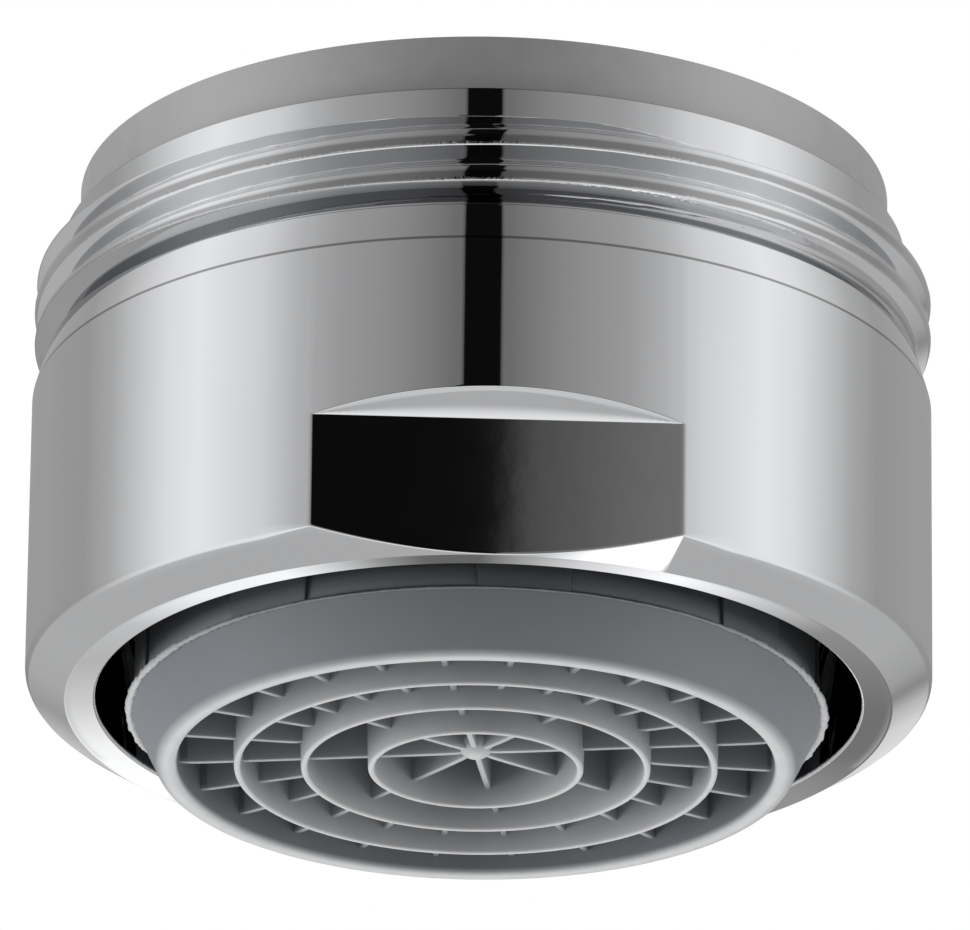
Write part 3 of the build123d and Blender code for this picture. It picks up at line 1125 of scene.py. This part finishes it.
def make_camera(settings):
    """Camera on the line from the lip's middle, turned so that this middle falls on its picture point."""
    elevation, azimuth = settings.camera_elevation, settings.camera_azimuth
    lip = Vector((0, 0, HOUSING_LOW.z))
    back = Vector((math.sin(azimuth) * math.cos(elevation), -math.cos(azimuth) * math.cos(elevation),
                   math.sin(elevation)))
    place = lip + back * settings.camera_distance
    right = Vector((0, 0, 1)).cross(back).normalized()
    up = back.cross(right)
    offset = Vector((PICTURE_WIDTH / 2 - settings.lip_pixel_x, settings.lip_pixel_y - PICTURE_HEIGHT / 2))
    offset.rotate(Matrix.Rotation(settings.camera_roll, 2))
    scale = settings.camera_distance / settings.focal_pixels
    aim = lip + (right * offset.x + up * offset.y) * scale
    facing = (aim - place).to_track_quat("-Z", "Y").to_matrix().to_4x4()
    data = bpy.data.cameras.new("camera")
    data.sensor_width = SENSOR_WIDTH
    data.lens = settings.focal_pixels * SENSOR_WIDTH / PICTURE_WIDTH
    data.clip_start = 0.01
    data.clip_end = 20.0
    camera = bpy.data.objects.new("camera", data)
    camera.matrix_world = Matrix.Translation(place) @ facing @ Matrix.Rotation(settings.camera_roll, 4, "Z")
    bpy.context.scene.collection.objects.link(camera)
    bpy.context.scene.camera = camera


# Levels of the studio by the turn of the mirroring surface from the camera, in degrees
SIDE_LEVELS = ((2.4, 0.22), (3.4, 0.22), (5, 0.26), (9.9, 0.36), (13, 0.41), (18.3, 0.48), (23.5, 0.65),
               (28.8, 0.94), (31, 1.0), (38, 1.19), (43, 1.08), (48.8, 0.81), (54, 0.57), (60, 0.44),
               (72, 0.44), (80, 0.39), (90, 0.3))
ROOM_LEVELS = ((-180, 0.6), (-105, 0.6), (-95, 0.42), (-85, 0.55), (-75, 0.6), (70, 0.6), (80, 0.5),
               (85, 0.34), (90, 0.64), (97, 0.85), (105, 0.84), (115, 0.65), (180, 0.6))
UNDER_LEVELS = ((-180, 0.28), (-135, 0.6), (-120, 1.4), (-105, 1.25), (-90, 0.86), (-75, 0.66), (-60, 0.78),
                (-45, 1.33), (-30, 1.44), (-15, 0.45), (-8, 0.2), (0, 0.2), (15, 0.97), (30, 1.52),
                (45, 0.89), (60, 0.4), (90, 0.23), (105, 0.23), (120, 0.38), (180, 0.28))
GAP_LEVEL = 0.005
CARD_LEVEL = 1.7
STRIP_LEVEL = 1.15
# Where one part of the studio goes over into the next, by turn in degrees and by tilt
GAP_TURNS = ((2.22, 2.35), (2.3, 2.75))
CARD_TURNS = ((5.0, 17.0), (27.0, 25.0))
CARD_TILT = (1.0, 1.3)
STRIP_TURN = (62.0, 40.0)
STRIP_TILT = (1.4, 1.1)
BELOW_TILT = (0.6, 1.0)
UNDER_TILT = (2.1, 2.7)


def spread(stops, low, high):
    """Stops in degrees as stops from 0 at low to 1 at high."""
    return [((degrees - low) / (high - low), level) for degrees, level in stops]


def make_world(settings):
    """Studio by direction, with the level wanted on a surface that mirrors that direction to the camera.

    The sum of the direction and the way to the camera is the normal of such a surface. Its turn
    from the camera's upright plane sets the level of upright surfaces, with a dark gap in the
    middle. Its tilt leads down to a pale room with one bright card and a bright level strip, and
    to a sheet under the lip.
    """
    world = bpy.data.worlds.new("studio")
    world.use_nodes = True
    bpy.context.scene.world = world
    tree = world.node_tree
    wire = Wiring(tree)
    level = math.cos(settings.camera_elevation)
    turned_way = wire.add("ShaderNodeVectorRotate", rotation_type="Z_AXIS")
    wire.join(wire.add("ShaderNodeTexCoord").outputs["Generated"], turned_way.inputs["Vector"])
    turned_way.inputs["Angle"].default_value = -settings.camera_azimuth
    to_camera = (0.0, -level, math.sin(settings.camera_elevation))
    x, y, z = wire.parts(wire.vector("ADD", turned_way.outputs[0], to_camera))
    turn = wire.math("MULTIPLY", wire.math("ARCTAN2", x, wire.math("MULTIPLY", y, -1.0)), 180 / math.pi)
    aside = wire.math("ABSOLUTE", turn)
    flat = wire.math("MAXIMUM", wire.reach(x, y), 0.001)
    tilt = wire.math("DIVIDE", wire.math("MULTIPLY", z, -1.0), flat)
    side = wire.ramp(wire.math("DIVIDE", aside, 90.0), spread(SIDE_LEVELS, 0, 90))
    gap_edge = wire.math("ADD", *[wire.step(aside, *turns) for turns in GAP_TURNS])
    side = wire.mix(wire.math("MULTIPLY", gap_edge, 0.5), GAP_LEVEL, side)
    all_round = wire.math("ADD", wire.math("DIVIDE", turn, 360.0), 0.5)
    room = wire.ramp(all_round, spread(ROOM_LEVELS, -180, 180))
    card = wire.math("MULTIPLY", *[wire.step(turn, *turns) for turns in CARD_TURNS])
    room = wire.mix(wire.math("MULTIPLY", card, wire.step(tilt, *CARD_TILT)), room, CARD_LEVEL)
    strip = wire.math("MULTIPLY", wire.step(tilt, *STRIP_TILT), wire.step(aside, *STRIP_TURN))
    room = wire.mix(strip, room, STRIP_LEVEL)
    under = wire.ramp(all_round, spread(UNDER_LEVELS, -180, 180))
    below = wire.mix(wire.step(tilt, *UNDER_TILT), room, under)
    shown = wire.mix(wire.step(tilt, *BELOW_TILT), side, below)
    path = wire.add("ShaderNodeLightPath")
    white = wire.math("MAXIMUM", path.outputs["Is Camera Ray"], path.outputs["Is Transmission Ray"])
    wire.join(wire.mix(white, shown, 1.0), tree.nodes["Background"].inputs["Color"])


LAMP_TARGET = Vector((0, 0, 0.006))


def area_lamp(name, place, size, power):
    """Square lamp that faces the object."""
    data = bpy.data.lights.new(name, "AREA")
    data.size = size
    data.energy = power
    lamp = bpy.data.objects.new(name, data)
    lamp.location = place
    lamp.rotation_euler = (LAMP_TARGET - Vector(place)).to_track_quat("-Z", "Y").to_euler()
    lamp.visible_glossy = False
    lamp.visible_camera = False
    bpy.context.scene.collection.objects.link(lamp)


def make_lamps(settings):
    """Soft fill from behind and under the outlet, and a weaker lamp from each side."""
    area_lamp("fill_lamp", (0.0, 0.2, -0.25), 0.2, settings.fill_power)
    area_lamp("left_lamp", (-0.3, 0.0, -0.1), 0.15, settings.left_power)
    area_lamp("right_lamp", (0.3, 0.0, -0.1), 0.15, settings.right_power)


FLOOR_DROP = 0.2 * MM
FLOOR_GLOW = 0.45


def make_floor(settings, colours):
    """Pale floor just under the rim, a disc of rings that shows from above only and takes the shadow."""
    angles = full_turn(64)
    radii = np.linspace(settings.floor_radius, 0.0, 9)
    outline = np.stack((radii, np.full_like(radii, -FLOOR_DROP)), -1)
    disc = plain(turned(outline, angles), wrap_rows=False)
    floor = bpy.data.objects.new("floor", mesh_from("floor", [disc]))
    bpy.context.scene.collection.objects.link(floor)
    material = bpy.data.materials.new("pale_floor")
    material.use_nodes = True
    tree = material.node_tree
    wire = Wiring(tree)
    shader = tree.nodes["Principled BSDF"]
    shader.inputs["Base Color"].default_value = tone(colours.floor)
    shader.inputs["Roughness"].default_value = 0.9
    shader.inputs["Emission Color"].default_value = (1.0, 1.0, 1.0, 1.0)
    path = wire.add("ShaderNodeLightPath")
    glow = wire.math("MULTIPLY", path.outputs["Is Camera Ray"], FLOOR_GLOW)
    wire.join(glow, shader.inputs["Emission Strength"])
    clear = wire.add("ShaderNodeBsdfTransparent")
    sides = wire.add("ShaderNodeMixShader")
    wire.join(wire.add("ShaderNodeNewGeometry").outputs["Backfacing"], sides.inputs[0])
    wire.join(shader.outputs[0], sides.inputs[1])
    wire.join(clear.outputs[0], sides.inputs[2])
    wire.join(sides.outputs[0], tree.nodes["Material Output"].inputs["Surface"])
    floor.data.materials.append(material)
    floor.visible_diffuse = False
    floor.visible_glossy = False
    floor.visible_transmission = False
    floor.visible_shadow = False


# Panel and registration

OPERATORS = (AERATOR_OT_housing, AERATOR_OT_washer, AERATOR_OT_insert, AERATOR_OT_screens,
             AERATOR_OT_cartridge, AERATOR_OT_stage)


class AERATOR_PT_pieces(bpy.types.Panel):
    """Pieces of the aerator and their sizes"""
    bl_idname = "AERATOR_PT_pieces"
    bl_label = "Tap aerator"
    bl_space_type = "VIEW_3D"
    bl_region_type = "UI"
    bl_category = "Aerator"

    def draw(self, context):
        for operator in OPERATORS:
            self.layout.operator(operator.bl_idname)
        for name, group in SETTINGS.items():
            column = self.layout.column()
            column.label(text=group.__doc__)
            for field in group.__annotations__:
                column.prop(getattr(context.scene, name), field)


CLASSES = (*SETTINGS.values(), *OPERATORS, AERATOR_PT_pieces)


def register():
    for item in CLASSES:
        bpy.utils.register_class(item)
    for name, group in SETTINGS.items():
        setattr(bpy.types.Scene, name, PointerProperty(type=group))


def unregister():
    for name in SETTINGS:
        delattr(bpy.types.Scene, name)
    for item in reversed(CLASSES):
        bpy.utils.unregister_class(item)


def main():
    """Build every piece and the stage."""
    register()
    bpy.ops.aerator.housing()
    bpy.ops.aerator.washer()
    bpy.ops.aerator.insert()
    bpy.ops.aerator.screens()
    bpy.ops.aerator.cartridge()
    bpy.ops.aerator.stage()


if __name__ == "__main__":
    main()
